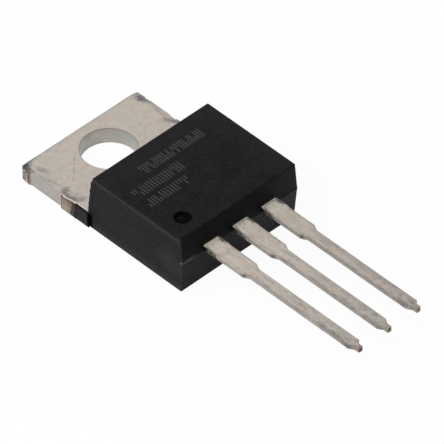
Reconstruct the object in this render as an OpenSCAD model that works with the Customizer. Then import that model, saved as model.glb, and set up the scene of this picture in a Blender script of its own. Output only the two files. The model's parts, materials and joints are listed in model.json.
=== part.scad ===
// Three-lead voltage regulator in a moulded power package.
// The part lies on its metal back: the back is the plane z = 0 and the front faces +Z.
// The origin is the centre of the mounting hole, the tab's free edge is towards +Y,
// and the leads run towards -Y with the ground lead at -X and the input lead at +X.
// All sizes are in millimetres.

/* [Tab] */
// Width of the tab across the sheared stubs on its sides
tab_w = 10.2; // [8.5:0.05:12.3]
// Thickness of the tab
tab_t = 1.27; // [1.05:0.01:1.55]
// Hole centre to the free edge of the tab
hole_to_edge = 2.74; // [2.3:0.02:3.4]
// Hole centre to the foot of the case
hole_to_case = 3.5; // [3.2:0.05:4.5]
// Diameter of the mounting hole
hole_d = 3.84; // [3.1:0.02:4.6]
// Depth of the tab's sides below the sheared stubs
side_relief = 0.08; // [0.05:0.01:0.2]
// Length of the sheared stub at each free corner
corner_stub_len = 0.74; // [0.4:0.02:1]
// Length of the sheared stub in each side
side_stub_len = 1.3; // [0.8:0.05:1.4]
// Length of the resin seam along each side, between stub and case
side_resin_len = 1.25; // [0.8:0.05:1.5]

/* [Paddle] */
// Resin wall beside the paddle, at the back
paddle_wall = 0.4; // [0.25:0.05:0.8]
// Overhang of the paddle past the bare pad, which locks it into the resin
lock_step = 0.35; // [0.15:0.05:0.6]
// Height of the overhang above the back
lock_step_z = 0.6; // [0.4:0.05:0.8]
// End of the paddle to the lead end of the case
paddle_to_case_end = 1.9; // [1.7:0.05:2.6]
// Depth of the solder stop grooves across the paddle
groove_depth = 0.12; // [0.05:0.01:0.2]
// Solder stop groove to the edge of the die
groove_to_die = 0.35; // [0.25:0.05:0.5]

/* [Case] */
// Length of the case along its parting line, measured from its foot
case_len = 8.65; // [7.2:0.05:10.4]
// Height of the case above the back
case_h = 4.56; // [3.8:0.02:5.5]
// Setback of the case's widest line from the tab's stubs
case_setback = 0.03; // [0:0.01:0.2]
// Lean of the wall at the tab end, from the tab's front up to the top
tab_end_lean = 0.43; // [0.1:0.01:0.8]
// Draft of the wall at the lead end, from the parting line up to the top
lead_end_draft_top = 0.2; // [0.05:0.01:0.35]
// Draft of the wall at the lead end, from the parting line down to the back
lead_end_draft_base = 0.24; // [0.05:0.01:0.35]
// Draft of each side, from the parting line up to the top
side_draft_top = 0.01; // [0.01:0.01:0.2]
// Draft of each side, from the parting line down to the back
side_draft_base = 0.08; // [0.01:0.01:0.2]
// Radius of the edges round the top
top_edge_r = 0.08; // [0.04:0.01:0.35]
// Radius of the upright edges
upright_edge_r = 0.05; // [0.03:0.01:0.2]
// Diameter of the round mark that the ejector pin leaves in the top
pin_mark_d = 1.15; // [0.8:0.05:1.6]
// Depth of the pin mark
pin_mark_depth = 0.25; // [0.1:0.01:0.35]
// Pin mark's centre to the side of the case
pin_mark_to_side = 1.6; // [1:0.05:2.5]
// Pin mark's centre to the lead end of the case
pin_mark_to_end = 1.6; // [1:0.05:2.5]

/* [Leads] */
// Spacing of the leads
lead_pitch = 2.54; // [2.3:0.01:3.05]
// Thickness of the leads
lead_t = 0.38; // [0.3:0.01:0.46]
// Underside of the leads above the back, which is also the parting line
lead_z = 2.57; // [2.2:0.01:3]
// Length of the leads outside the case
lead_len = 13.47; // [8:0.05:16.2]
// Width of the leads where they leave the case
root_w = 1.27; // [1.05:0.01:1.55]
// Length of that width outside the case
root_len = 3.5; // [2.5:0.05:4.2]
// Length over which the lead narrows
shoulder_len = 0.45; // [0.2:0.05:0.8]
// Width of the lead past its shoulder
pin_w = 0.8; // [0.65:0.01:1]
// Length of the taper at the tip
tip_taper_len = 0.4; // [0.2:0.02:0.6]
// Width of the sheared stub at the tip
tip_w = 0.34; // [0.25:0.01:0.5]
// Length of the sheared stub at the tip
tip_len = 0.37; // [0.2:0.01:0.6]

/* [Lead roots inside the case] */
// Width of the bonding post of each outer lead
post_w = 2; // [1.6:0.05:2.3]
// Length of the bonding post
post_len = 1.15; // [0.95:0.05:1.4]
// Post to the lead end of the case
post_to_case_end = 0.65; // [0.6:0.05:0.9]
// Radius of the lock notches in the neck of each outer lead
lock_notch_r = 0.16; // [0.1:0.01:0.2]
// Slope of the riser between the paddle and the output lead
riser_slope = 60; // [50:1:70]
// Radius of the riser's bends, along the middle of the metal
riser_bend_r = 0.4; // [0.3:0.02:0.45]

/* [Die] */
// Width of the die
die_w = 3.4; // [2.6:0.05:4.1]
// Length of the die
die_len = 2.8; // [2.4:0.05:3.4]
// Thickness of the die
die_t = 0.28; // [0.2:0.01:0.34]
// Die to the end of the paddle
die_to_paddle_end = 1.55; // [1.45:0.05:1.8]
// Thickness of the solder under the die
solder_t = 0.05; // [0.03:0.01:0.08]
// Solder squeezed out past the die, on each side
solder_rim = 0.12; // [0.05:0.01:0.2]

/* [Bond wires] */
// Diameter of the wires that carry the load
power_wire_d = 0.3; // [0.2:0.01:0.36]
// Diameter of the ground wire
ground_wire_d = 0.2; // [0.15:0.01:0.25]
// Outermost wire on the die to the side of the die
pad_margin = 0.4; // [0.25:0.05:0.5]
// Start of each wire to the bonded end of the die
pad_to_die_end = 0.95; // [0.8:0.05:1.2]
// Spacing of the paired wires on the input lead's post
post_wire_spacing = 0.65; // [0.5:0.01:0.7]
// End of each wire to the end of the metal that it lands on
landing_margin = 0.12; // [0.05:0.01:0.2]
// Resin above the loops that reach the outer leads
loop_cover = 0.5; // [0.4:0.05:0.6]
// Height of the short loops to the paddle, above the die
short_loop_h = 0.7; // [0.5:0.05:0.8]
// Length of each flattened bond
bond_len = 0.45; // [0.35:0.01:0.5]
// Bond to the corner of the wire's first and last bend
heel_len = 0.15; // [0.12:0.01:0.2]
// Radius of the bends of the long loops
long_bend_r = 0.35; // [0.25:0.01:0.4]
// Radius of the bends of the short loops
short_bend_r = 0.22; // [0.2:0.01:0.25]

/* [Hidden] */

$fn = 48;

RESIN = [0.15, 0.15, 0.16];
TIN = [0.73, 0.7, 0.66];
SILICON = [0.33, 0.35, 0.42];
SOLDER = [0.55, 0.55, 0.57];
ALUMINIUM = [0.82, 0.83, 0.85];

// Steps round each upright edge of the case, and over its top edge
CORNER_STEPS = 4;
EDGE_STEPS = 5;
// Length by which a cutter runs past the face it leaves
PAST = 1;
// Length by which joined solids run into each other
JOIN = 0.3;
// Steps round each bend of the riser
RISER_STEPS = 6;
// Sides of a bond wire's section, and steps round each of its bends
WIRE_SIDES = 8;
WIRE_BEND_STEPS = 3;
// Section of a flattened bond, as shares of the wire's diameter
BOND_HALF_W = 0.7;
BOND_ABOVE = 0.36;
BOND_BELOW = 0.25;
// Middle of the round wire above the metal beside its bond, as a share of its diameter
WIRE_LIFT = 0.55;
// Place of the top of a loop along its span
LONG_LOOP_TOP = 0.6;
SHORT_LOOP_TOP = 0.5;
// Wires on the die, in a row
WIRE_COUNT = 5;

// Lines across the part, counted along Y
case_foot_y = -hole_to_case;
case_end_y = case_foot_y - case_len;
paddle_end_y = case_end_y + paddle_to_case_end;
pad_end_y = paddle_end_y + lock_step;
side_stub_y = case_foot_y + side_resin_len;
die_end_y = paddle_end_y + die_to_paddle_end;
wire_start_y = die_end_y + pad_to_die_end;
post_end_y = case_end_y + post_to_case_end;
lead_tip_y = case_end_y - lead_len;

// Half widths
tab_half = tab_w / 2;
relief_half = tab_half - side_relief;
case_half = tab_half - case_setback;
case_base_half = case_half - side_draft_base;
case_top_half = case_half - side_draft_top;
paddle_half = case_base_half - paddle_wall;
pad_half = paddle_half - lock_step;

// Heights
lead_top_z = lead_z + lead_t;
solder_top_z = tab_t + solder_t;
die_top_z = solder_top_z + die_t;

// A path is a list of [distance, height] points joined by straight legs.
// A place on it is [distance, height, heading].
// Heading of the leg that starts at point i
function heading(path, i) = atan2(path[i + 1][1] - path[i][1], path[i + 1][0] - path[i][0]);
// Turn at point i, positive when the path turns upwards
function turn(path, i) = heading(path, i) - heading(path, i - 1);
// Places round the bend at point i
function bend_places(path, i, bend_r, steps) =
    let(
        way_in = heading(path, i - 1),
        reach = sign(turn(path, i)) * bend_r,
        back = bend_r * tan(abs(turn(path, i)) / 2),
        centre_x = path[i][0] - back * cos(way_in) - reach * sin(way_in),
        centre_z = path[i][1] - back * sin(way_in) + reach * cos(way_in)
    )
    [
        for (step = [0 : steps])
            let(way = way_in + turn(path, i) * step / steps)
                [centre_x + reach * sin(way), centre_z - reach * cos(way), way]
    ];
// Places round all the bends of a path
function all_bend_places(path, bend_r, steps) =
    [for (i = [1 : len(path) - 2]) each bend_places(path, i, bend_r, steps)];
// Point square to the path, at a height above a place on it
function beside(place, up) = [place[0] - up * sin(place[2]), place[1] + up * cos(place[2])];

// Solid through a list of rings that have the same number of points. The rings turn
// anticlockwise, seen from the end that the list leads to.
module skin(rings) {
    sides = len(rings[0]);
    last = (len(rings) - 1) * sides;
    quads = [
        for (r = [0 : len(rings) - 2])
            for (k = [0 : sides - 1])
                let(next = (k + 1) % sides)
                    [r * sides + k, (r + 1) * sides + k, (r + 1) * sides + next, r * sides + next]
    ];
    triangles = [for (q = quads) each [[q[0], q[1], q[2]], [q[0], q[2], q[3]]]];
    ends = [
        [for (k = [0 : sides - 1]) k],
        [for (k = [sides - 1 : -1 : 0]) last + k]
    ];
    polyhedron([for (r = rings) each r], concat(triangles, ends));
}

// Box between two values of y and two of z, centred on x = 0
module bar(half_w, y_low, y_high, z_low, z_high) {
    translate([-half_w, y_low, z_low])
        cube([2 * half_w, y_high - y_low, z_high - z_low]);
}

// Copy of the children on each side of the middle plane
module both_sides() {
    children();
    mirror([1, 0, 0])
        children();
}

// ---- Leads ----

// Outline of a lead outside the case, from its tip to its root, centred on x = 0
module pin_outline(root_y) {
    shoulder_y = case_end_y - root_len;
    pin_y = shoulder_y - shoulder_len;
    stub_y = lead_tip_y + tip_len;
    taper_y = stub_y + tip_taper_len;
    right = [
        [tip_w / 2, lead_tip_y],
        [tip_w / 2, stub_y],
        [pin_w / 2, taper_y],
        [pin_w / 2, pin_y],
        [root_w / 2, shoulder_y],
        [root_w / 2, root_y]
    ];
    left = [for (i = [len(right) - 1 : -1 : 0]) [-right[i][0], right[i][1]]];
    polygon(concat(right, left));
}

// Outline of an outer lead, with its bonding post and lock notches
module outer_lead_outline() {
    neck_y = (case_end_y + post_end_y) / 2;
    difference() {
        union() {
            pin_outline(post_end_y + JOIN);
            translate([-post_w / 2, post_end_y])
                square([post_w, post_len]);
        }
        both_sides()
            translate([root_w / 2, neck_y])
                circle(r = lock_notch_r);
    }
}

module outer_lead(x) {
    translate([x, 0, lead_z])
        linear_extrude(lead_t)
            outer_lead_outline();
}

module ground_lead() {
    color(TIN)
        outer_lead(-lead_pitch);
}

module input_lead() {
    color(TIN)
        outer_lead(lead_pitch);
}

// ---- Tab, paddle and output lead, stamped from one dual-gauge strip ----

// Outline of the tab outside the case, with the stubs of the strip's tie bars
module tab_outline() {
    translate([-relief_half, case_foot_y])
        square([2 * relief_half, hole_to_edge - case_foot_y]);
    translate([-tab_half, hole_to_edge - corner_stub_len])
        square([tab_w, corner_stub_len]);
    translate([-tab_half, side_stub_y])
        square([tab_w, side_stub_len]);
}

// V-groove across the paddle's front
module solder_stop_groove(y) {
    translate([0, y, tab_t])
        rotate([45, 0, 0])
            cube([tab_w, groove_depth * sqrt(2), groove_depth * sqrt(2)], center = true);
}

// Bent strip that lifts the output lead from the paddle to the plane of the leads
module riser() {
    root_z = tab_t - lead_t / 2;
    top_z = lead_z + lead_t / 2;
    first = riser_bend_r * tan(riser_slope / 2);
    path = [
        [-JOIN, root_z],
        [first, root_z],
        [first + (top_z - root_z) / tan(riser_slope), top_z],
        [paddle_end_y - case_end_y + JOIN, top_z]
    ];
    places = concat(
        [[path[0][0], root_z, 0]],
        all_bend_places(path, riser_bend_r, RISER_STEPS),
        [[path[3][0], top_z, 0]]
    );
    front = [for (place = places) beside(place, lead_t / 2)];
    back = [for (i = [len(places) - 1 : -1 : 0]) beside(places[i], -lead_t / 2)];
    translate([0, paddle_end_y, 0])
        rotate([90, 0, -90])
            linear_extrude(root_w, center = true)
                polygon(concat(front, back));
}

module tab_and_output_lead() {
    color(TIN)
        difference() {
            union() {
                linear_extrude(tab_t)
                    tab_outline();
                bar(pad_half, pad_end_y, case_foot_y + JOIN, 0, tab_t);
                bar(paddle_half, paddle_end_y, case_foot_y + JOIN, lock_step_z, tab_t);
                riser();
                translate([0, 0, lead_z])
                    linear_extrude(lead_t)
                        pin_outline(case_end_y);
            }
            // Mounting hole
            translate([0, 0, -PAST])
                cylinder(d = hole_d, h = tab_t + 2 * PAST);
            // Lock step along the sides beside the resin seams
            both_sides()
                translate([pad_half, case_foot_y - PAST, -PAST])
                    cube([tab_w, side_resin_len + PAST, lock_step_z + PAST]);
            solder_stop_groove(die_end_y - groove_to_die);
            solder_stop_groove(die_end_y + die_len + groove_to_die);
        }
}

// ---- Die and its solder ----

// Plate centred on x = 0 that reaches a margin past the die on all sides
module die_plate(margin, z_low, z_high) {
    bar(die_w / 2 + margin, die_end_y - margin, die_end_y + die_len + margin, z_low, z_high);
}

module regulator_die() {
    color(SILICON)
        die_plate(0, solder_top_z, die_top_z);
}

module die_solder() {
    color(SOLDER)
        die_plate(solder_rim, tab_t, solder_top_z);
}

// ---- Bond wires ----

// Sections of a wire, as lists of [across, up] points: the round one and the flattened one,
// whose flat underside lies on the bonded metal
function corner_angle(k) = 360 * (k + 0.5) / WIRE_SIDES;
function round_section(wire_d) =
    [for (k = [0 : WIRE_SIDES - 1])
        let(a = corner_angle(k))
            wire_d / 2 * [cos(a), sin(a)]];
function flat_section(wire_d) =
    [for (k = [0 : WIRE_SIDES - 1])
        let(a = corner_angle(k))
            wire_d * [BOND_HALF_W * cos(a), max(BOND_ABOVE * sin(a), -BOND_BELOW)]];

// Ring of a section's points at a place on a path
function wire_ring(place, section) =
    [for (p = section)
        let(at = beside(place, p[1]))
            [at[0], p[0], at[1]]];

// Wire that loops from one bonded surface to another, with its middle at top_z at the top
module bond_wire(from, to, wire_d, top_z, top_share, bend_r) {
    across = [to[0] - from[0], to[1] - from[1]];
    span = norm(across);
    rise = to[2] - from[2];
    seat = BOND_BELOW * wire_d;
    lift = WIRE_LIFT * wire_d;
    path = [
        [0, lift],
        [bond_len + heel_len, lift],
        [span * top_share, top_z - from[2]],
        [span - bond_len - heel_len, rise + lift],
        [span, rise + lift]
    ];
    rings = concat(
        [for (x = [0, bond_len]) wire_ring([x, seat, 0], flat_section(wire_d))],
        [for (place = all_bend_places(path, bend_r, WIRE_BEND_STEPS))
            wire_ring(place, round_section(wire_d))],
        [for (x = [span - bond_len, span])
            wire_ring([x, rise + seat, 0], flat_section(wire_d))]
    );
    translate(from)
        rotate([0, 0, atan2(across[1], across[0])])
            skin(rings);
}

// Place of a wire in the row on the die, counted from the middle one
function pad_x(place) = place * (die_w - 2 * pad_margin) / (WIRE_COUNT - 1);

// Long loop between the die and the post of an outer lead
module post_wire(place, post_x, wire_d) {
    color(ALUMINIUM)
        bond_wire(
            [pad_x(place), wire_start_y, die_top_z],
            [post_x, post_end_y + landing_margin, lead_top_z],
            wire_d,
            case_h - loop_cover - wire_d / 2,
            LONG_LOOP_TOP,
            long_bend_r
        );
}

// Short loop between the die and the paddle
module paddle_wire(place) {
    color(ALUMINIUM)
        bond_wire(
            [pad_x(place), wire_start_y, die_top_z],
            [pad_x(place), paddle_end_y + landing_margin, tab_t],
            power_wire_d,
            die_top_z + short_loop_h,
            SHORT_LOOP_TOP,
            short_bend_r
        );
}

module input_bond_wire_a() {
    post_wire(2, lead_pitch + post_wire_spacing / 2, power_wire_d);
}

module input_bond_wire_b() {
    post_wire(1, lead_pitch - post_wire_spacing / 2, power_wire_d);
}

module output_bond_wire_a() {
    paddle_wire(0);
}

module output_bond_wire_b() {
    paddle_wire(-1);
}

module ground_bond_wire() {
    post_wire(-2, -lead_pitch, ground_wire_d);
}

// ---- Case ----

// Sides of the case against height
function case_half_at(z) =
    lookup(z, [[0, case_base_half], [lead_z, case_half], [case_h, case_top_half]]);
function case_end_at(z) =
    case_end_y + lookup(z, [[0, lead_end_draft_base], [lead_z, 0], [case_h, lead_end_draft_top]]);
function case_foot_at(z) =
    case_foot_y - lookup(z, [[tab_t, 0], [case_h, tab_end_lean]]);

// Outline of the case at a height, drawn in from its sides, with round corners
function case_ring(z, inset) =
    let(
        pull = inset + upright_edge_r,
        x = case_half_at(z) - pull,
        low_y = case_end_at(z) + pull,
        high_y = case_foot_at(z) - pull,
        corners = [[x, high_y], [-x, high_y], [-x, low_y], [x, low_y]]
    )
    [
        for (q = [0 : 3])
            for (step = [0 : CORNER_STEPS])
                let(a = 90 * (q + step / CORNER_STEPS))
                    [
                        corners[q][0] + upright_edge_r * cos(a),
                        corners[q][1] + upright_edge_r * sin(a),
                        z
                    ]
    ];

// Solid block of the case: drafted both ways from the parting line, with a round top edge
module case_block() {
    walls = [for (z = [0, tab_t, lead_z]) case_ring(z, 0)];
    top_edge = [
        for (step = [0 : EDGE_STEPS])
            let(a = 90 * step / EDGE_STEPS)
                case_ring(case_h - top_edge_r * (1 - sin(a)), top_edge_r * (1 - cos(a)))
    ];
    skin(concat(walls, top_edge));
}

// Resin that fills the lock step of the tab beside the case, flush with the stubs
module side_resin() {
    inner = case_base_half - upright_edge_r;
    linear_extrude(tab_t) {
        translate([pad_half, case_foot_y])
            square([tab_half - pad_half, side_resin_len]);
        translate([pad_half, case_foot_y - JOIN])
            square([inner - pad_half, 2 * JOIN]);
    }
}

// The resin is moulded round the metal, the die and the wires, so it holds their exact form
module molded_case() {
    color(RESIN)
        difference() {
            union() {
                case_block();
                both_sides()
                    side_resin();
            }
            tab_and_output_lead();
            ground_lead();
            input_lead();
            regulator_die();
            die_solder();
            input_bond_wire_a();
            input_bond_wire_b();
            output_bond_wire_a();
            output_bond_wire_b();
            ground_bond_wire();
            translate([
                -case_half + pin_mark_to_side,
                case_end_y + pin_mark_to_end,
                case_h - pin_mark_depth
            ])
                cylinder(d = pin_mark_d, h = pin_mark_depth + PAST);
        }
}

molded_case();
tab_and_output_lead();
ground_lead();
input_lead();
regulator_die();
die_solder();
input_bond_wire_a();
input_bond_wire_b();
output_bond_wire_a();
output_bond_wire_b();
ground_bond_wire();
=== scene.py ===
import json
import math
import random

import bmesh
import bpy
import numpy as np
from mathutils import Matrix, Vector, noise
from mathutils.geometry import delaunay_2d_cdt


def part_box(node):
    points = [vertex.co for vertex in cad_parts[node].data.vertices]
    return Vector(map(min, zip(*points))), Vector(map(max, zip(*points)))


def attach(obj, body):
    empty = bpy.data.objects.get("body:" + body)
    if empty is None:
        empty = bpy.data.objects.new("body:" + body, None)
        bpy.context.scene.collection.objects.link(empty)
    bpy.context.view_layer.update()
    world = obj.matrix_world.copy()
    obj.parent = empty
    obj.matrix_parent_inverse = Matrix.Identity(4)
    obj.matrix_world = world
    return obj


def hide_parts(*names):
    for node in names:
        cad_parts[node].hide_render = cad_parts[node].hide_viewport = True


# Looks of a three-lead voltage regulator in a moulded power package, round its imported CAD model.
# The frame is the CAD's: the back is z = 0 and the front faces +Z, the origin is the centre of
# the mounting hole, the tab's free edge is towards +Y and the leads run towards -Y.
# Sizes are in millimetres, and MM turns them into metres where a mesh, light or camera is made.
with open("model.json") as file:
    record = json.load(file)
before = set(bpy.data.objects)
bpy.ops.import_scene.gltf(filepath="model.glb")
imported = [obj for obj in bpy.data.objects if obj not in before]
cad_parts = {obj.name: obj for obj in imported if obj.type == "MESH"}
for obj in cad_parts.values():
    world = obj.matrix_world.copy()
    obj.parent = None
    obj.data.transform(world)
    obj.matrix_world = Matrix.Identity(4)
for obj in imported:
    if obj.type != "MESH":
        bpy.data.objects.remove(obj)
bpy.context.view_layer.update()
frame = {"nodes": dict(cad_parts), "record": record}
MM = 0.001


# ---- Sizes from the frame ----

def node_box(name):
    low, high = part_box(name)
    return low / MM, high / MM


case_low, case_high = node_box("molded_case")
tab_low, tab_high = node_box("tab_and_output_lead")
lead_low, lead_high = node_box("input_lead")
solder_low, _ = node_box("die_solder")
die_low, die_high = node_box("regulator_die")
mounts = {mount["name"]: mount for mount in frame["record"]["mounts"]}

TAB_HALF = tab_high.x
FREE_EDGE_Y = tab_high.y
TIP_Y = tab_low.y
TAB_T = solder_low.z
HOLE_R = mounts["mounting_hole"]["dims"]["r_mm"]
SIDE_STUB_Y = case_high.y
CASE_END_Y = case_low.y
CASE_H = case_high.z
LEAD_Z = lead_low.z
LEAD_TOP_Z = lead_high.z
LEAD_T = LEAD_TOP_Z - LEAD_Z
LEAD_PITCH = (lead_low.x + lead_high.x) / 2
POST_HALF = (lead_high.x - lead_low.x) / 2
POST_TOP_Y = lead_high.y

# ---- Sizes that the boxes don't give, as in the CAD ----

CASE_FOOT_Y = -3.5
SIDE_RELIEF = 0.08
CORNER_STUB_LEN = 0.74
SIDE_STUB_LEN = 1.3
PADDLE_WALL = 0.4
LOCK_STEP = 0.35
LOCK_STEP_Z = 0.6
PADDLE_END_Y = CASE_END_Y + 1.9
GROOVE_DEPTH = 0.12
GROOVE_TO_DIE = 0.35
CASE_SETBACK = 0.03
SIDE_DRAFT_TOP = 0.01
SIDE_DRAFT_BASE = 0.08
END_DRAFT_TOP = 0.2
END_DRAFT_BASE = 0.24
FOOT_LEAN = 0.43
TOP_EDGE_R = 0.08
UPRIGHT_EDGE_R = 0.05
PIN_MARK_R = 0.575
PIN_MARK_DEPTH = 0.25
PIN_MARK_TO_SIDE = 1.6
PIN_MARK_TO_END = 1.6
ROOT_HALF = 0.635
ROOT_LEN = 3.5
SHOULDER_LEN = 0.45
PIN_HALF = 0.4
TAPER_LEN = 0.4
TIP_HALF = 0.17
TIP_LEN = 0.37
POST_LEN = 1.15
NECK_NOTCH_R = 0.16
RISER_SLOPE = math.radians(60)
RISER_BEND_R = 0.4
JOIN = 0.3

relief_half = TAB_HALF - SIDE_RELIEF
case_half = TAB_HALF - CASE_SETBACK
case_base_half = case_half - SIDE_DRAFT_BASE
paddle_half = case_base_half - PADDLE_WALL
pad_half = paddle_half - LOCK_STEP
pad_end_y = PADDLE_END_Y + LOCK_STEP
shoulder_y = CASE_END_Y - ROOT_LEN
stub_y = TIP_Y + TIP_LEN
pin_mark_x = -case_half + PIN_MARK_TO_SIDE
pin_mark_y = CASE_END_Y + PIN_MARK_TO_END


# ---- Outlines: lists of 2D points, anticlockwise round metal or resin, clockwise round a hole ----

def pairs(points):
    return zip(points, points[1:] + points[:1])


def densify(points, step):
    """The outline with more points, so that no side is longer than step."""
    out = []
    for a, b in pairs(points):
        count = max(1, math.ceil((b - a).length / step - 1e-6))
        out += [a.lerp(b, i / count) for i in range(count)]
    return out


def left_of(a, b):
    along = (b - a).normalized()
    return Vector((-along.y, along.x))


def inset(points, depth):
    """The outline drawn to its left by depth, with mitred corners."""
    normals = [left_of(a, b) for a, b in pairs(points)]
    out = []
    for before, point, after in zip(normals[-1:] + normals[:-1], points, normals):
        out.append(point + (before + after) * (depth / (1 + before.dot(after))))
    return out


def rounded(points, radius, steps):
    """The outline with each corner turned into an arc, smaller where its sides are short."""
    nearly_straight, most_of_side = 0.1, 0.45
    out = []
    for before, point, after in zip(points[-1:] + points[:-1], points, points[1:] + points[:1]):
        way_in, way_out = (point - before).normalized(), (after - point).normalized()
        turn = math.atan2(way_in.cross(way_out), way_in.dot(way_out))
        if abs(turn) < nearly_straight:
            out.append(point)
            continue
        room = most_of_side * min((point - before).length, (after - point).length)
        back = min(abs(radius * math.tan(turn / 2)), room)
        reach = back / math.tan(turn / 2)
        centre = point - way_in * back + left_of(before, point) * reach
        heading = math.atan2(way_in.y, way_in.x)
        for i in range(steps + 1):
            a = heading + turn * i / steps
            out.append(centre + reach * Vector((math.sin(a), -math.cos(a))))
    return out


def ring_of(x, y, radius, count):
    """Points clockwise round a circle."""
    angles = [-math.tau * i / count for i in range(count)]
    return [Vector((x + radius * math.cos(a), y + radius * math.sin(a))) for a in angles]


def mirrored(right):
    """A closed anticlockwise outline from its right half, which is listed upwards."""
    half = [Vector(p) for p in right]
    return half + [Vector((-p.x, p.y)) for p in reversed(half)]


def within(places, loops):
    """Which of an array of places lie inside the loops, counted even-odd."""
    inside = np.zeros(len(places), bool)
    for loop in loops:
        for a, b in pairs(loop):
            crosses = (a.y > places[:, 1]) != (b.y > places[:, 1])
            if not crosses.any():
                continue
            at_x = (b.x - a.x) * (places[:, 1] - a.y) / (b.y - a.y) + a.x
            inside ^= crosses & (places[:, 0] < at_x)
    return inside


def depth_within(places, loops):
    """Distance of each of an array of places to the nearest side of the loops."""
    nearest = np.full(len(places), np.inf)
    for loop in loops:
        for a, b in pairs(loop):
            side = np.array(b - a)
            from_a = places - np.array(a)
            share = np.clip(from_a @ side / side.dot(side), 0, 1)
            away = from_a - share[:, None] * side
            nearest = np.minimum(nearest, np.hypot(away[:, 0], away[:, 1]))
    return nearest


def triangular_grid(loop, spacing):
    """Places over a loop's box, in rows that are staggered by half the spacing."""
    corners = np.array(loop)
    low, high = corners.min(0), corners.max(0)
    row_height = 0.866 * spacing
    return np.array([
        (x, y)
        for row, y in enumerate(np.arange(low[1], high[1], row_height))
        for x in np.arange(low[0] + spacing / 2 * (row % 2), high[0], spacing)
    ])


# ---- Solids ----

def wall(bm, rings):
    """Faces between rings of vertices that have the same number of points."""
    for lower, upper in zip(rings, rings[1:]):
        for (a, b), (d, c) in zip(pairs(lower), pairs(upper)):
            bm.faces.new((a, b, c, d))


def cap(bm, rings, outlines, spacing, edge, z_face, up):
    """Cover over rings of vertices. Towards the outlines it drops as the edge profile says."""
    loops = [[v.co.xy for v in ring] for ring in rings]
    rim_verts = [v for ring in rings for v in ring]
    places = [v.co.xy for v in rim_verts]
    sides = []
    for loop in loops:
        first = len(sides)
        sides += [(first + i, first + (i + 1) % len(loop)) for i in range(len(loop))]
    for pull, _ in edge[1:]:
        ring = np.array([p for outline in outlines for p in inset(outline, pull)])
        # Left out where it would come too near another side
        fits = within(ring, loops) & (depth_within(ring, outlines) > 0.97 * pull)
        places += [Vector(p) for p in ring[fits]]
    grid = triangular_grid(loops[0], spacing)
    clear = within(grid, loops) & (depth_within(grid, outlines) > edge[-1][0] + 0.45 * spacing)
    places += [Vector(p) for p in grid[clear]]
    found, _, faces, origins, _, _ = delaunay_2d_cdt(places, sides, [], 0, 1e-7)
    found = np.array(found)
    drops = np.interp(depth_within(found, outlines), *zip(*edge))
    verts = []
    for (x, y), source, drop in zip(found, origins, drops):
        on_rim = [rim_verts[i] for i in source if i < len(rim_verts)]
        z = z_face - drop if up else z_face + drop
        verts.append(on_rim[0] if on_rim else bm.verts.new((x, y, z)))
    inside = within(found[np.array(faces)].mean(axis=1), loops)
    for face, is_inside in zip(faces, inside):
        if is_inside:
            bm.faces.new([verts[i] for i in (face if up else reversed(face))])


# Edge profiles from the wall to the face, as (inset, drop)
SHARP_EDGE = [(0, 0)]
BURR_EDGE = [(0, 0.02), (0.006, 0.006), (0.02, 0)]
DIE_ROLL = [(0, 0.045), (0.007, 0.024), (0.024, 0.011), (0.06, 0.004), (0.12, 0)]
LEAD_ROLL = [(0, 0.028), (0.006, 0.013), (0.02, 0.005), (0.05, 0.0015), (0.09, 0)]
SEAM_ROLL = [(0, 0.03), (0.009, 0.009), (0.03, 0)]

# Insets up to this one are rings of the wall, and wider ones belong to the face
RING_INSET = 0.03


def plate(outlines, z_low, z_high, low_edge, high_edge, spacing, levels):
    """Solid between two heights, with an edge profile at each and a wall of some levels."""
    bm = bmesh.new()
    low_rings = [step for step in low_edge if step[0] <= RING_INSET]
    high_rings = [step for step in high_edge if step[0] <= RING_INSET]
    low_z, high_z = z_low + low_edge[0][1], z_high - high_edge[0][1]
    profile = [(pull, z_low + drop) for pull, drop in reversed(low_rings)]
    profile += [(0, low_z + (high_z - low_z) * i / levels) for i in range(1, levels)]
    profile += [(pull, z_high - drop) for pull, drop in high_rings]
    stacks = []
    for outline in outlines:
        rings = []
        for pull, z in profile:
            rings.append([bm.verts.new((p.x, p.y, z)) for p in inset(outline, pull)])
        wall(bm, rings)
        stacks.append(rings)
    low_face = low_edge[len(low_rings) - 1:]
    high_face = high_edge[len(high_rings) - 1:]
    cap(bm, [rings[0] for rings in stacks], outlines, spacing, low_face, z_low, up=False)
    cap(bm, [rings[-1] for rings in stacks], outlines, spacing, high_face, z_high, up=True)
    return bm


def sway(place, size, seed):
    """Smooth noise between -1 and 1 at a place, with features of about that size."""
    return noise.noise(Vector(place) / size + Vector((seed, 1.7 * seed, -seed)))


def fade(distance, reach):
    """1 at no distance, falling smoothly to 0 at reach."""
    t = min(1.0, max(0.0, 1 - distance / reach))
    return t * t * (3 - 2 * t)


def add_object(name, data):
    thing = bpy.data.objects.new(name, data)
    bpy.context.scene.collection.objects.link(thing)
    return thing


def add_mesh(bm, name):
    mesh = bpy.data.meshes.new(name)
    bm.to_mesh(mesh)
    bm.free()
    return add_object(name, mesh)


def to_object(bm, name):
    """A new object from a mesh in millimetres."""
    bmesh.ops.scale(bm, vec=Vector((MM, MM, MM)), verts=bm.verts)
    return add_mesh(bm, name)


def cad_copy(name):
    """A closed copy of a CAD node's mesh, to cut with."""
    bm = bmesh.new()
    bm.from_mesh(frame["nodes"][name].data)
    bmesh.ops.remove_doubles(bm, verts=bm.verts, dist=1e-7)
    return add_mesh(bm, name + "_copy")


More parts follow.
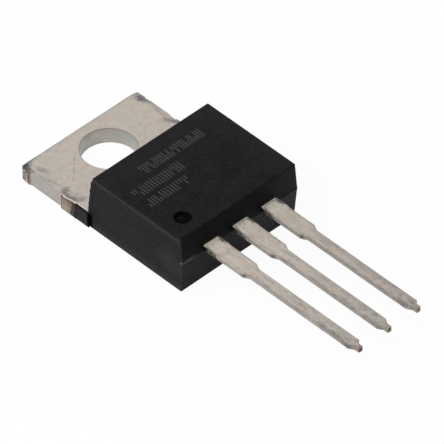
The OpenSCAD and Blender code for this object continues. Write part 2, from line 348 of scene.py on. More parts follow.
def combine(piece, others, operation):
    """Changes the piece by a boolean operation with other objects."""
    for other in others:
        modifier = piece.modifiers.new("combine", "BOOLEAN")
        modifier.object = other
        modifier.operation = operation
        modifier.solver = "MANIFOLD"
    bpy.context.view_layer.update()
    graph = bpy.context.evaluated_depsgraph_get()
    mesh = bpy.data.meshes.new_from_object(piece.evaluated_get(graph))
    piece.modifiers.clear()
    old = piece.data
    piece.data = mesh
    bpy.data.meshes.remove(old)
    mesh.name = piece.name


# A loose bit with fewer vertices than this is no part of a piece
CRUMB_VERTS = 100


def drop_crumbs(piece):
    """Removes the loose bits that a cut has left beside a piece's main body."""
    bm = bmesh.new()
    bm.from_mesh(piece.data)
    loose = set(bm.verts)
    crumbs = []
    while loose:
        island = []
        edge = [loose.pop()]
        while edge:
            vert = edge.pop()
            island.append(vert)
            near = [other for link in vert.link_edges for other in link.verts if other in loose]
            loose.difference_update(near)
            edge += near
        if len(island) < CRUMB_VERTS:
            crumbs += island
    bmesh.ops.delete(bm, geom=crumbs, context="VERTS")
    bm.to_mesh(piece.data)
    bm.free()


def discard(objects):
    for piece in objects:
        bpy.data.objects.remove(piece)


# ---- Metal: tab, paddle and leads ----

# Radius of the outlines' corners, greatest step along them and spacing on the faces
TAB_CORNER_R, TAB_STEP, TAB_SPACING = 0.045, 0.14, 0.22
LEAD_CORNER_R, LEAD_STEP, LEAD_SPACING = 0.05, 0.12, 0.14

# Places on the tab's front that the press drew down: x, y, depth and reach
TAB_DENTS = [
    (-5.1, 2.74, 0.02, 0.5),
    (-5.1, 2.05, 0.1, 0.45),
    (5.1, 2.6, 0.12, 0.6),
    (5.0, 1.9, 0.07, 0.5),
    (-5.1, -1.0, 0.12, 0.6),
    (-5.1, -1.5, 0.08, 0.45),
    (5.1, -0.9, 0.12, 0.7),
    (5.1, -1.7, 0.1, 0.6),
]

# How far, and how far round, the back of the free corner beside the ground lead is worn up
CORNER_WORN, CORNER_WORN_REACH = 0.12, 0.5

# How far the cut has spread the side stubs and the resin beside them
STUB_BURR = 0.04


def tab_outline():
    corner_y = FREE_EDGE_Y - CORNER_STUB_LEN
    stub_end_y = SIDE_STUB_Y + SIDE_STUB_LEN + STUB_BURR
    return mirrored([
        (paddle_half, PADDLE_END_Y),
        (paddle_half, CASE_FOOT_Y),
        (relief_half, CASE_FOOT_Y),
        (relief_half, SIDE_STUB_Y),
        (TAB_HALF + STUB_BURR, SIDE_STUB_Y),
        (TAB_HALF + STUB_BURR, stub_end_y),
        (relief_half, stub_end_y),
        (relief_half, corner_y),
        (TAB_HALF, corner_y),
        (TAB_HALF, FREE_EDGE_Y),
    ])


def shape_tab(bm):
    """Draws the dents down and gives the sheared and rolled faces their unevenness."""
    edge = 0.02
    for v in bm.verts:
        x, y, z = v.co
        height = z / TAB_T
        if y > CASE_FOOT_Y:
            for dent_x, dent_y, depth, reach in TAB_DENTS:
                away = math.hypot(x - dent_x, (y - dent_y) * 0.8)
                v.co.z -= depth * fade(away, reach) * height ** 3
            v.co.z += 0.004 * height * sway((x, y, 0), 1.3, 3)
            from_corner = math.hypot(x + TAB_HALF, y - FREE_EDGE_Y)
            v.co.z += CORNER_WORN * fade(from_corner, CORNER_WORN_REACH) * (1 - height) ** 3
        if abs(x) > TAB_HALF - edge and y > SIDE_STUB_Y and edge < z < TAB_T - edge:
            tear = 0.012 * sway((0, y * 3, z), 0.35, 7) + 0.01 * sway((0, y, z), 0.12, 9)
            v.co.x -= math.copysign(0.014 + tear, x)


def lock_cutter():
    """What the lock step takes away: the back of the paddle round the bare pad."""
    far = TAB_HALF + 1
    beyond = PADDLE_END_Y - 1
    outline = [Vector(p) for p in (
        (-far, SIDE_STUB_Y), (-far, beyond), (far, beyond), (far, SIDE_STUB_Y),
        (pad_half, SIDE_STUB_Y), (pad_half, pad_end_y),
        (-pad_half, pad_end_y), (-pad_half, SIDE_STUB_Y),
    )]
    bm = plate([outline], -1, LOCK_STEP_Z, SHARP_EDGE, SHARP_EDGE, 2, levels=1)
    return to_object(bm, "lock_cutter")


def groove_cutter(y, name):
    """A bar with a square section on its corner, across the paddle's front."""
    bm = bmesh.new()
    bmesh.ops.create_cube(bm, size=1)
    side = GROOVE_DEPTH * math.sqrt(2)
    size = Matrix.Diagonal((2 * TAB_HALF, side, side, 1))
    turn = Matrix.Rotation(math.radians(45), 4, "X")
    place = Matrix.Translation((0, y, TAB_T)) @ turn @ size
    bmesh.ops.transform(bm, matrix=place, verts=bm.verts)
    return to_object(bm, name)


def make_tab():
    outline = densify(rounded(tab_outline(), TAB_CORNER_R, 3), TAB_STEP)
    hole = ring_of(0, 0, HOLE_R, 128)
    bm = plate([outline, hole], 0, TAB_T, BURR_EDGE, DIE_ROLL, TAB_SPACING, levels=7)
    shape_tab(bm)
    tab = to_object(bm, "tab_plate")
    cutters = [
        lock_cutter(),
        groove_cutter(die_low.y - GROOVE_TO_DIE, "groove_a"),
        groove_cutter(die_high.y + GROOVE_TO_DIE, "groove_b"),
    ]
    combine(tab, cutters, "DIFFERENCE")
    discard(cutters)
    return tab


def pin_half_outline():
    """The right half of a lead's outline, upwards from its tip to the wide root."""
    return [
        (TIP_HALF, TIP_Y),
        (TIP_HALF, stub_y),
        (PIN_HALF, stub_y + TAPER_LEN),
        (PIN_HALF, shoulder_y - SHOULDER_LEN),
        (ROOT_HALF, shoulder_y),
    ]


def outer_lead_outline():
    """The lead with its notched neck and its post, which lie in the case."""
    post_y = POST_TOP_Y - POST_LEN
    neck_y = (CASE_END_Y + post_y) / 2
    notch = []
    for i in range(9):
        a = math.radians(-90 - 22.5 * i)
        notch.append((ROOT_HALF + NECK_NOTCH_R * math.cos(a), neck_y + NECK_NOTCH_R * math.sin(a)))
    post = [(ROOT_HALF, post_y), (POST_HALF, post_y), (POST_HALF, POST_TOP_Y)]
    return mirrored(pin_half_outline() + notch + post)


def lead_strip(outline):
    outline = densify(rounded(outline, LEAD_CORNER_R, 3), LEAD_STEP)
    return plate([outline], LEAD_Z, LEAD_TOP_Z, BURR_EDGE, LEAD_ROLL, LEAD_SPACING, levels=4)


def wobble_lead(bm, seed):
    """Slight unevenness of a stamped lead: its run, its faces and its sheared tip."""
    for v in bm.verts:
        x, y, z = v.co
        out = fade(y - TIP_Y, CASE_END_Y - TIP_Y)
        v.co.x += 0.03 * out * sway((0, y, 0), 5, seed)
        v.co.z += 0.02 * out * sway((0, y, 0), 6, seed + 5)
        if y < CASE_END_Y:
            v.co.x += 0.005 * sway((x, y, 0), 0.5, seed + 2)
            v.co.z += 0.004 * sway((x, y, z), 0.6, seed + 3)
        if y < TIP_Y + 0.02:
            v.co.y += 0.015 * sway((x, 0, z), 0.1, seed)


def blunt_tip(bm):
    """Widens the taper before a lead's tip on the side of the input lead."""
    for v in bm.verts:
        along = (v.co.y - stub_y) / TAPER_LEN
        if 0 < along < 1 and v.co.x > 0:
            half = TIP_HALF + (PIN_HALF - TIP_HALF) * along
            v.co.x *= min(PIN_HALF, TIP_HALF + (PIN_HALF - TIP_HALF) * 2 * along) / half


def make_outer_lead(name, middle_x, seed):
    bm = lead_strip(outer_lead_outline())
    blunt_tip(bm)
    wobble_lead(bm, seed)
    bmesh.ops.translate(bm, vec=Vector((middle_x, 0, 0)), verts=bm.verts)
    return to_object(bm, name)


def riser_place(run):
    """Distance from the paddle's end, height and slope of the strip's middle after a run along it."""
    arc = RISER_BEND_R * RISER_SLOPE
    back = RISER_BEND_R * math.tan(RISER_SLOPE / 2)
    climb = (LEAD_Z + LEAD_T - TAB_T) / math.sin(RISER_SLOPE) - 2 * back
    away, z, slope = min(run, 0), TAB_T - LEAD_T / 2, 0
    left = max(run, 0)
    for length, turn in ((arc, RISER_SLOPE), (climb, 0), (arc, -RISER_SLOPE), (math.inf, 0)):
        part = min(left, length)
        bend = turn * part / length
        chord = part * math.sin(bend / 2) / (bend / 2) if bend else part
        away += chord * math.cos(slope + bend / 2)
        z += chord * math.sin(slope + bend / 2)
        slope += bend
        left -= part
    return away, z, slope


def make_output_lead():
    """The lead is made flat and its root is then bent down to the paddle."""
    past_riser = PADDLE_END_Y - CASE_END_Y + 3
    spare = past_riser - riser_place(past_riser)[0]
    right = [(x, y - spare) for x, y in pin_half_outline()]
    bm = lead_strip(mirrored(right + [(ROOT_HALF, PADDLE_END_Y + JOIN)]))
    middle = (LEAD_Z + LEAD_TOP_Z) / 2
    for v in bm.verts:
        away, z, slope = riser_place(PADDLE_END_Y - v.co.y)
        up = v.co.z - middle
        v.co.y = PADDLE_END_Y - away + up * math.sin(slope)
        v.co.z = z + up * math.cos(slope)
    wobble_lead(bm, 21)
    return to_object(bm, "output_lead")


# ---- Resin ----

def blend(z, stops):
    """A value at a height, in straight steps between (height, value) stops."""
    return float(np.interp(z, [s[0] for s in stops], [s[1] for s in stops]))


def case_ring(z, pull):
    """Outline of the case at a height, drawn in from its sides, with round corners."""
    half = blend(z, [(0, case_base_half), (LEAD_Z, case_half), (CASE_H, case_half - SIDE_DRAFT_TOP)])
    end = CASE_END_Y + blend(z, [(0, END_DRAFT_BASE), (LEAD_Z, 0), (CASE_H, END_DRAFT_TOP)])
    foot = CASE_FOOT_Y - blend(z, [(TAB_T, 0), (CASE_H, FOOT_LEAN)])
    r = UPRIGHT_EDGE_R
    right, top, low = half - pull - r, foot - pull - r, end + pull + r
    corners = [(right, top), (-right, top), (-right, low), (right, low)]
    points = []
    for quarter, (x, y) in enumerate(corners):
        for step in range(7):
            a = math.radians(90 * (quarter + step / 6))
            points.append(Vector((x + r * math.cos(a), y + r * math.sin(a))))
        next_x, next_y = corners[(quarter + 1) % 4]
        start = points[-1]
        end_point = Vector((next_x + r * math.cos(a), next_y + r * math.sin(a)))
        sides = 44 if quarter % 2 == 0 else 38
        points += [start.lerp(end_point, i / sides) for i in range(1, sides)]
    return points


def case_levels():
    """Heights and insets of the case's rings, from the back to the top face."""
    levels = [(drop, pull) for pull, drop in reversed(BURR_EDGE)]
    levels += [(z, 0) for z in (0.35, 0.7, 1.0, 1.2, TAB_T, 1.31, 1.4, 1.7, 2.1, 2.45)]
    levels += [(LEAD_Z + d, 0) for d in (-0.035, 0, 0.035, 0.12, 0.3)]
    levels += [(z, 0) for z in (3.2, 3.6, 4.0)]
    for step in range(8):
        a = math.radians(90 * step / 7)
        levels.append((CASE_H - TOP_EDGE_R * (1 - math.sin(a)), TOP_EDGE_R * (1 - math.cos(a))))
    return levels


def flash(x, y, z):
    """How far the resin stands out at a place: at the parting line and where it meets the tab."""
    out = 0.0
    if abs(z - LEAD_Z) < 0.01:
        out = (0.014 + 0.012 * sway((x, y, 0), 0.8, 4)) * fade(y - CASE_END_Y, 0.6)
        corner = math.hypot(x + case_half, y - CASE_END_Y)
        out += 0.06 * fade(corner, 0.7) * (0.8 + 0.6 * sway((x, y, 0), 0.2, 6))
    if y > CASE_FOOT_Y - 0.3 and TAB_T - 0.01 < z < TAB_T + 0.05:
        out += 0.02 + 0.02 * sway((x, y, 0), 0.5, 8)
        out += 0.05 * fade(case_half - abs(x), 0.5)
    return out


def case_rings(bm):
    rings = []
    for z, pull in case_levels():
        ring = case_ring(z, pull)
        verts = []
        for point, (a, b) in zip(ring, pairs(ring)):
            out = flash(point.x, point.y, z) + 0.004 * sway((point.x, point.y, z), 0.9, 11)
            verts.append(bm.verts.new((*(point - left_of(a, b) * out), z)))
        rings.append(verts)
    wall(bm, rings)
    return rings


def pin_mark(bm):
    """The ejector pin's mark: a rounded rim, a wall and a dished floor. Gives its rim."""
    bottom = CASE_H - PIN_MARK_DEPTH
    profile = [(0.05, CASE_H), (0.02, CASE_H - 0.012), (0, CASE_H - 0.045), (-0.015, bottom + 0.03)]
    profile += [(-0.035, bottom), (-0.2, bottom - 0.005), (-0.4, bottom + 0.004)]
    rings = []
    for out, z in profile:
        points = ring_of(pin_mark_x, pin_mark_y, PIN_MARK_R + out, 48)
        rings.append([bm.verts.new((p.x, p.y, z)) for p in points])
    wall(bm, rings[::-1])
    bm.faces.new(rings[-1][::-1])
    return rings[0]


def case_block():
    back_spacing, front_spacing = 0.8, 0.24
    bm = bmesh.new()
    rings = case_rings(bm)
    back = [v.co.xy for v in rings[0]]
    cap(bm, rings[:1], [back], back_spacing, SHARP_EDGE, 0, up=False)
    rims = [rings[-1], pin_mark(bm)]
    outlines = [[v.co.xy for v in rim] for rim in rims]
    cap(bm, rims, outlines, front_spacing, SHARP_EDGE, CASE_H, up=True)
    for v in bm.verts:
        if v.co.z > CASE_H - 1e-4:
            v.co.z += 0.004 * sway((v.co.x, v.co.y, 0), 1.6, 13) - 0.004
    return bm


def seam_block(side):
    """Resin in the lock step beside the case, flush with the stubs of the tab."""
    inner, outer = case_base_half - UPRIGHT_EDGE_R, TAB_HALF + STUB_BURR
    points = [
        (pad_half, CASE_FOOT_Y - JOIN), (inner, CASE_FOOT_Y - JOIN), (inner, CASE_FOOT_Y),
        (outer, CASE_FOOT_Y), (outer, SIDE_STUB_Y), (pad_half, SIDE_STUB_Y),
    ]
    outline = [Vector((side * x, y)) for x, y in points]
    if side < 0:
        outline.reverse()
    bm = plate([densify(outline, 0.15)], 0, TAB_T - 0.03, BURR_EDGE, SEAM_ROLL, 0.3, levels=5)
    for v in bm.verts:
        if abs(v.co.x) > TAB_HALF - 0.05:
            v.co.x += side * (0.006 * sway(v.co, 0.3, 15) - 0.008)
    return to_object(bm, "seam")


# How deep a crust of stray resin is sunk into its face, and how far it stands out from a lead on
# the side of the ground lead and, as a fringe, on the other side
CRUST_SINK = 0.04
CRUST_OUT = 0.03
FRINGE_OUT = 0.07


def crust(corner, along, across, out, counts, height):
    """A closed sheet over a rectangle on a face: it stands out by height(a, b) millimetres at
    the shares a and b of the rectangle's sides, and its back is sunk into the face. The height
    may sink to hide the sheet, but not as deep as its back."""
    rows, columns = counts
    corner, along, across, out = (Vector(v) for v in (corner, along, across, out))
    bm = bmesh.new()
    sheets = []
    for is_back in (False, True):
        sheet = []
        for i in range(rows + 1):
            row = []
            for j in range(columns + 1):
                a, b = i / rows, j / columns
                rise = -CRUST_SINK if is_back else max(-CRUST_SINK / 2, height(a, b))
                row.append(bm.verts.new(corner + along * a + across * b + out * rise))
            sheet.append(row)
        for near, far in zip(sheet, sheet[1:]):
            for j in range(columns):
                bm.faces.new((near[j], far[j], far[j + 1], near[j + 1]))
        sheets.append(sheet)
    rims = []
    for sheet in sheets:
        rim = sheet[0] + [row[-1] for row in sheet[1:]]
        rims.append(rim + sheet[-1][-2::-1] + [row[0] for row in sheet[-2:0:-1]])
    wall(bm, rims)
    bmesh.ops.recalc_face_normals(bm, faces=bm.faces)
    return to_object(bm, "crust")


def lead_crust(middle_x, side, seed):
    """Resin left on one side of a lead where it leaves the case, with a ragged end."""
    inside, length, margin = 0.1, 1.6, 0.03
    if side < 0:
        reach_back, reach_front, stands_out = 1.25, 0.8, CRUST_OUT
    else:
        reach_back, reach_front, stands_out = 1.2, 1.1, FRINGE_OUT

    def height(a, b):
        away = a * length - inside
        reach = reach_back + (reach_front - reach_back) * b + 0.2 * sway((away, b, 0), 0.3, seed)
        return stands_out * min(1, (reach - away) / 0.1)

    corner = (middle_x + side * ROOT_HALF, CASE_END_Y + inside, LEAD_Z + margin)
    up = (0, 0, LEAD_T - 2 * margin)
    return crust(corner, (0, -length, 0), up, (side, 0, 0), (32, 6), height)


def foot_crust():
    """Ragged flash along the upright edge of the case's foot, on the side of the ground lead."""
    low_z, rise_z = TAB_T + 0.06, 3.05
    lean = FOOT_LEAN / (CASE_H - TAB_T)

    def height(a, b):
        z = b * rise_z
        out = 0.12 + 0.06 * sway((0, 0, z), 0.35, 17) + 0.03 * sway((0, 0, z), 0.09, 19)
        return out * fade(b - 0.88, 0.12) * (1 - a * a) - 0.02 * a

    corner = (-case_half + 0.015, CASE_FOOT_Y - lean * (low_z - TAB_T), low_z)
    up = (0, -lean * rise_z, rise_z)
    return crust(corner, (0.2, 0, 0), up, (0, 1, 0), (5, 60), height)


def ear_crust(side):
    """Resin smeared from the seam over the sheared stub beside it."""
    reach = 0.42

    def height(a, b):
        border = 0.2 * (1 - b) - 0.02 + 0.06 * sway((0, a, b), 0.3, 23)
        return 0.012 * min(1, (border - a * reach) / 0.04) + 0.02

    corner = (side * (TAB_HALF + STUB_BURR - 0.02), SIDE_STUB_Y - 0.06, 0.01)
    return crust(corner, (0, reach, 0), (0, 0, TAB_T - 0.1), (side, 0, 0), (14, 16), height)


def inner_names():
    """The pieces inside the case: the die, its solder and the wires."""
    wires = [name for name in frame["nodes"] if "bond_wire" in name]
    return sorted(wires + ["die_solder", "regulator_die"])


def make_case(metal):
    """The case with its seams and stray resin, cut to fit the metal and the inner pieces."""
    case = to_object(case_block(), "case_shell")
    resin_parts = [seam_block(1), seam_block(-1), foot_crust(), ear_crust(-1), ear_crust(1)]
    for place in range(-1, 2):
        for side in (-1, 1):
            resin_parts.append(lead_crust(place * LEAD_PITCH, side, 25 + 4 * place + side))
    combine(case, resin_parts, "UNION")
    copies = [cad_copy(name) for name in inner_names()]
    combine(case, metal + copies, "DIFFERENCE")
    discard(resin_parts + copies)
    drop_crumbs(case)
    return case


# Rows of the laser code on the front: first x, y at the foot, cell width, stroke length, cells
MARK_ROWS = [
    (-2.45, -6.05, 0.594, 0.85, 9),
    (-4.3, -7.4, 0.7, 0.85, 6),
    (-4.25, -8.55, 0.72, 0.8, 5),
]
STROKES_PER_CELL = 3
STROKE_W = 0.1
MARK_ABOVE = 0.004
MARK_SUNK = 0.04


def make_marks():
    """A plain code of upright bars, in the place of the laser marking."""
    dice = random.Random(5)
    outlines = []
    for first_x, foot_y, cell, length, count in MARK_ROWS:
        for place in range(STROKES_PER_CELL * count):
            kind = dice.choice(("whole", "whole", "whole", "low", "high"))
            x = first_x + cell * (place / STROKES_PER_CELL + 0.08)
            low = foot_y + (0.5 * length if kind == "high" else 0)
            high = foot_y + (0.5 * length if kind == "low" else length)
            box = [(x, low), (x + STROKE_W, low), (x + STROKE_W, high), (x, high)]
            outline = densify(rounded([Vector(p) for p in box], 0.03, 2), 0.08)
            for p in outline:
                p.x += 0.012 * sway((p.x, p.y, 0), 0.12, 29)
            outlines.append(outline)
    low_z, high_z = CASE_H - MARK_SUNK, CASE_H + MARK_ABOVE
    bm = plate(outlines, low_z, high_z, SHARP_EDGE, SHARP_EDGE, 1, levels=1)
    return to_object(bm, "laser_code")


# ---- Materials ----

class Value:
    """A number in a material's nodes. What is worked out from it becomes nodes too."""

    def __init__(self, graph, socket):
        self.graph = graph
        self.socket = socket

    def math(self, operation, *others):
        inputs = dict(enumerate((self, *others)))
        return self.graph.value("ShaderNodeMath", inputs, operation=operation)

    def __add__(self, other):
        return self.math("ADD", other)

    def __sub__(self, other):
        return self.math("SUBTRACT", other)

    def __rsub__(self, other):
        return self * -1 + other

    def __mul__(self, other):
        return self.math("MULTIPLY", other)

    def __abs__(self):
        return self.math("ABSOLUTE")

    def span(self, start, full, low=0, high=1):
        """low where the value is start, high where it is full, and in proportion between them."""
        inputs = {"Value": self, "From Min": start, "From Max": full, "To Min": low, "To Max": high}
        return self.graph.value("ShaderNodeMapRange", inputs)

    def band(self, start, end, soft):
        """1 where the value lies between start and end, with soft borders."""
        return self.span(start - soft, start + soft) * self.span(end + soft, end - soft)

    def spread(self, low, high):
        """Noise, which lies mostly between 0.3 and 0.7, spread from low to high."""
        return self.span(0.3, 0.7, low, high)

    def ragged(self, reach, noise):
        """The value moved by noise, by up to reach either way."""
        return self + noise.spread(-reach, reach)


class Graph:
    """A short way to write a material's nodes. Places are in millimetres."""

    def __init__(self, name):
        self.material = bpy.data.materials.new(name)
        self.material.use_nodes = True
        self.tree = self.material.node_tree
        self.tree.nodes.clear()
        coords = self.add("ShaderNodeTexCoord").outputs
        self.facing = coords["Normal"]
        self.place = self.vector("SCALE", {0: coords["Object"], "Scale": 1 / MM})
        self.x, self.y, self.z = (self.part(self.place, axis) for axis in range(3))
        self.colour = None

    def add(self, kind, inputs=None, **settings):
        """A node with its settings. Its inputs are linked, or set where they are fixed."""
        node = self.tree.nodes.new(kind)
        for key, value in settings.items():
            setattr(node, key, value)
        for key, value in (inputs or {}).items():
            source = value.socket if isinstance(value, Value) else value
            if isinstance(source, bpy.types.NodeSocket):
                self.tree.links.new(source, node.inputs[key])
            else:
                node.inputs[key].default_value = source
        return node

    def value(self, kind, inputs, output=0, **settings):
        return Value(self, self.add(kind, inputs, **settings).outputs[output])

    def vector(self, operation, inputs):
        return self.add("ShaderNodeVectorMath", inputs, operation=operation).outputs[0]

    def length(self, vector):
        return self.value("ShaderNodeVectorMath", {0: vector}, "Value", operation="LENGTH")

    def part(self, vector, axis):
        return self.value("ShaderNodeSeparateXYZ", {0: vector}, axis)

    def noise(self, scale, detail=2, rough=0.5, stretch=(1, 1, 1), shift=0):
        """Noise with about scale features a millimetre."""
        at = self.vector("MULTIPLY_ADD", {0: self.place, 1: stretch, 2: (shift,) * 3})
        inputs = {"Vector": at, "Scale": scale, "Detail": detail, "Roughness": rough}
        return self.value("ShaderNodeTexNoise", inputs, "Fac")

    def ramp(self, value, start, dark, end, pale):
        """A colour that goes from dark, where the value is start, to pale, where it is end."""
        node = self.add("ShaderNodeValToRGB", {"Fac": value})
        for stop, place, tint in zip(node.color_ramp.elements, (start, end), (dark, pale)):
            stop.position = place
            stop.color = (*tint, 1)
        return node.outputs["Color"]

    def mix(self, share, a, b):
        tints = [(*tint, 1) if isinstance(tint, tuple) else tint for tint in (a, b)]
        return self.add("ShaderNodeMix", {0: share, 6: tints[0], 7: tints[1]}, data_type="RGBA").outputs[2]

    def stain(self, share, strength, tint):
        """Lays a tint over the material's colour where the share is 1."""
        self.colour = self.mix(share * strength, self.colour, tint)

    def spot(self, centre, radii, turn=0, ragged=0.3, soft=0.8):
        """1 in an ellipsoid round a place, turned about Z by degrees, and 0 past its ragged border."""
        inputs = {"Vector": self.place, "Location": centre, "Scale": radii}
        inputs["Rotation"] = (0, 0, math.radians(turn))
        local = self.add("ShaderNodeMapping", inputs, vector_type="TEXTURE").outputs[0]
        away = self.length(local).ragged(ragged, self.noise(5, 3, 0.6, shift=sum(centre)))
        return away.span(1, 1 - soft)

    def on_side(self):
        """1 on faces that look along X."""
        return abs(self.part(self.facing, 0)).span(0.5, 0.85)

    def across_lead(self):
        """Distance from the middle of the nearest lead, with the sign of X."""
        return self.x.math("WRAP", LEAD_PITCH / 2, -LEAD_PITCH / 2)

    def per_lead(self, ground_tint, output_tint, input_tint):
        tint = self.mix(self.x.span(-1.5, -1), ground_tint, output_tint)
        return self.mix(self.x.span(1, 1.5), tint, input_tint)

    def finish(self, roughness, relief, depth, **fixed):
        """Ends the graph in a principled shader. Relief from 0 to 1 has a depth in millimetres, and
        fixed numbers go straight on the shader's sockets."""
        bump = self.add("ShaderNodeBump", {"Height": relief, "Distance": depth * MM}).outputs["Normal"]
        inputs = {"Base Color": self.colour, "Roughness": roughness, "Normal": bump}
        inputs.update({key.replace("_", " "): value for key, value in fixed.items()})
        shader = self.add("ShaderNodeBsdfPrincipled", inputs).outputs[0]
        self.add("ShaderNodeOutputMaterial", {"Surface": shader})
        return self.material


RESIN_IOR = 1.5


def stain_resin_faces(g, from_end, at_end):
    """Dust: paler on top by the tab and towards the input lead, and a patch on the side of the ground
    lead near its front end. Painted light: a reflection of the floor low on that side, and highlights
    along its top edge and down the front corner. Painted shade over the upper lead end."""
    x, y, z = g.x, g.y, g.z
    on_top = z.span(CASE_H - 0.06, CASE_H - 0.01)
    g.stain(on_top * y.span(-7.5, -4), 0.35, (0.016, 0.0155, 0.0165))
    g.stain(on_top * x.span(3, 5), 0.3, (0.016, 0.0155, 0.0165))
    # Painted reflection of the floor: the ground lead's side paler low down
    g.stain(x.span(-4.8, -4.9) * z.span(0.85, 0.05), 0.8, (0.025, 0.024, 0.0245))
    dusty = g.spot((-5.05, -10.9, 2.0), (0.4, 1.4, 1.3), ragged=0.2, soft=0.6)
    g.stain(dusty, 0.8, (0.0165, 0.016, 0.0165))
    # Painted shade: the lead end nearly black above the parting line, lifted towards the input lead
    upper_end = at_end * z.span(LEAD_Z + 0.1, LEAD_Z + 0.3) * z.span(CASE_H - 0.05, CASE_H - 0.15)
    g.stain(upper_end, 0.9, (0.0002, 0.0002, 0.0002))
    g.stain(upper_end * x.span(2, 5), 0.8, (0.014, 0.0135, 0.014))
    # Painted highlight along the top edge of the ground lead's side, broken up by noise
    worn = g.noise(3.5, 3, 0.6, shift=8).span(0.35, 0.6, 0.35, 1)
    g.stain(x.span(-4.96, -5.01) * z.band(4.18, 4.5, 0.05) * worn, 0.9, (0.022, 0.0195, 0.019))
    # Painted highlight down the front corner on that side
    corner = x.span(-4.93, -5.0) * from_end.span(0.2, 0.1) * z.span(0.1, 0.4)
    g.stain(corner, 0.8, (0.018, 0.0165, 0.016))


def stain_resin_end(g, from_end, at_end):
    """The lead end: mottled below the parting line and paler there, a painted reflection of the floor that
    grows towards the input lead; a fleck on the parting line and tin over each lead.
    """
    x, z = g.x, g.z
    lower_end = at_end * z.span(LEAD_Z, LEAD_Z - 0.05)
    mottled = lower_end * g.noise(2.2, 3, 0.6, shift=2).span(0.4, 0.65)
    g.stain(mottled, 0.8, (0.016, 0.0155, 0.016))
    # Painted reflection of the floor: the lead end paler below the parting line, more so towards the input
    # lead
    g.stain(lower_end * x.span(-2.5, 5, 0.2, 1), 0.85, (0.033, 0.032, 0.033))
    g.stain(g.spot((-4.4, -12, 0.8), (0.35, 0.4, 0.8)), 0.5, (0.006, 0.006, 0.006))
    on_lead = abs(g.across_lead()).span(ROOT_HALF, ROOT_HALF - 0.05) * abs(x).span(3.6, 3.5)
    lip = at_end * z.band(LEAD_TOP_Z - 0.02, LEAD_TOP_Z + 0.03, 0.01) * on_lead
    g.stain(lip, 0.9, (0.62, 0.6, 0.55))
    by_corner = from_end.span(0.25, 0.15) * x.span(-3.7, -4.4)
    fleck = by_corner * z.band(LEAD_Z - 0.08, LEAD_Z + 0.12, 0.03)
    g.stain(fleck * g.noise(7, 3, 0.7, shift=47).span(0.38, 0.5), 0.9, (0.11, 0.107, 0.10))


def stain_thin_resin(g):
    """Thin resin on the leads' sides, which the metal shows through, and its fringe."""
    thin = g.y.span(CASE_END_Y - 0.1, CASE_END_Y - 0.4)
    g.stain(thin, 0.8, (0.05, 0.044, 0.036))
    g.stain(thin * g.noise(8, 3, 0.7, shift=49).span(0.45, 0.6), 0.8, (0.22, 0.2, 0.165))
    beside_lead = g.across_lead().span(ROOT_HALF - 0.02, ROOT_HALF)
    g.stain(g.y.span(CASE_END_Y, CASE_END_Y - 0.1) * beside_lead, 0.8, (0.2, 0.19, 0.16))


def resin_material():
    g = Graph("black_epoxy")
    grain = g.noise(14, 2, 0.6)
    tone = g.noise(0.9, 3) * 0.3 + g.noise(6, 3, 0.6, shift=3) * 0.7
    g.colour = g.ramp(tone, 0.38, (0.0002, 0.0001, 0.0008), 0.62, (0.0084, 0.0070, 0.0094))
    # Painted light: the side of the ground lead a little paler
    g.stain(g.x.span(-4.9, -5.0), 0.5, (0.0078, 0.0068, 0.0068))
    g.stain(g.noise(20, 1, shift=5).span(0.68, 0.76), 0.4, (0.04, 0.038, 0.036))
    from_end = g.y - g.z.span(LEAD_Z, CASE_H, CASE_END_Y, CASE_END_Y + END_DRAFT_TOP)
    at_end = g.y.span(-11.8, -11.9)
    stain_resin_faces(g, from_end, at_end)
    stain_resin_end(g, from_end, at_end)
    stain_thin_resin(g)
    # Seams, paler than the case
    g.stain(g.y.span(-3.4, -3.3) * g.z.span(1.2, 1.0), 0.8, (0.0185, 0.0165, 0.0165))
    # A faint rubbed line across the front
    rubbed = g.spot((-1.6, -9.7, CASE_H), (1.28, 0.05, 0.3), turn=46, ragged=0.2)
    g.stain(rubbed, 0.8, (0.0015, 0.0014, 0.0018))
    relief = grain * 0.6 + g.noise(4) * 0.8
    return g.finish(grain.spread(0.5, 0.66), relief, 0.06, IOR=RESIN_IOR, Specular_IOR_Level=0.11)


def shaded_resin_material():
    """Resin in the pin mark and in the corner behind the seams, darkened as painted shade, with a painted
    reflection on the pin mark's floor.
    """
    g = Graph("painted_shade_epoxy")
    grain = g.noise(12, 2, 0.6)
    g.colour = g.ramp(grain, 0.35, (0.0012, 0.0012, 0.0015), 0.65, (0.0034, 0.0032, 0.0035))
    # Painted reflection: a pale streak on the pin mark's floor
    on_floor = (pin_mark_x + 0.06, pin_mark_y + 0.26, CASE_H - PIN_MARK_DEPTH)
    g.stain(g.spot(on_floor, (0.3, 0.06, 0.2), turn=-20), 0.8, (0.018, 0.0175, 0.018))
    return g.finish(grain.spread(0.7, 0.85), grain, 0.012, IOR=RESIN_IOR, Specular_IOR_Level=0.03)


def mark_material():
    g = Graph("laser_marked_epoxy")
    dots = g.noise(11, 2, 0.6)
    g.colour = g.ramp(dots, 0.35, (0.030, 0.0285, 0.0265), 0.65, (0.062, 0.0585, 0.054))
    return g.finish(0.8, dots, 0.01, IOR=RESIN_IOR, Specular_IOR_Level=0.13)


# Share of the tin that shines as metal; the rest scatters, as matt tin does
TIN_METALLIC = 0.6


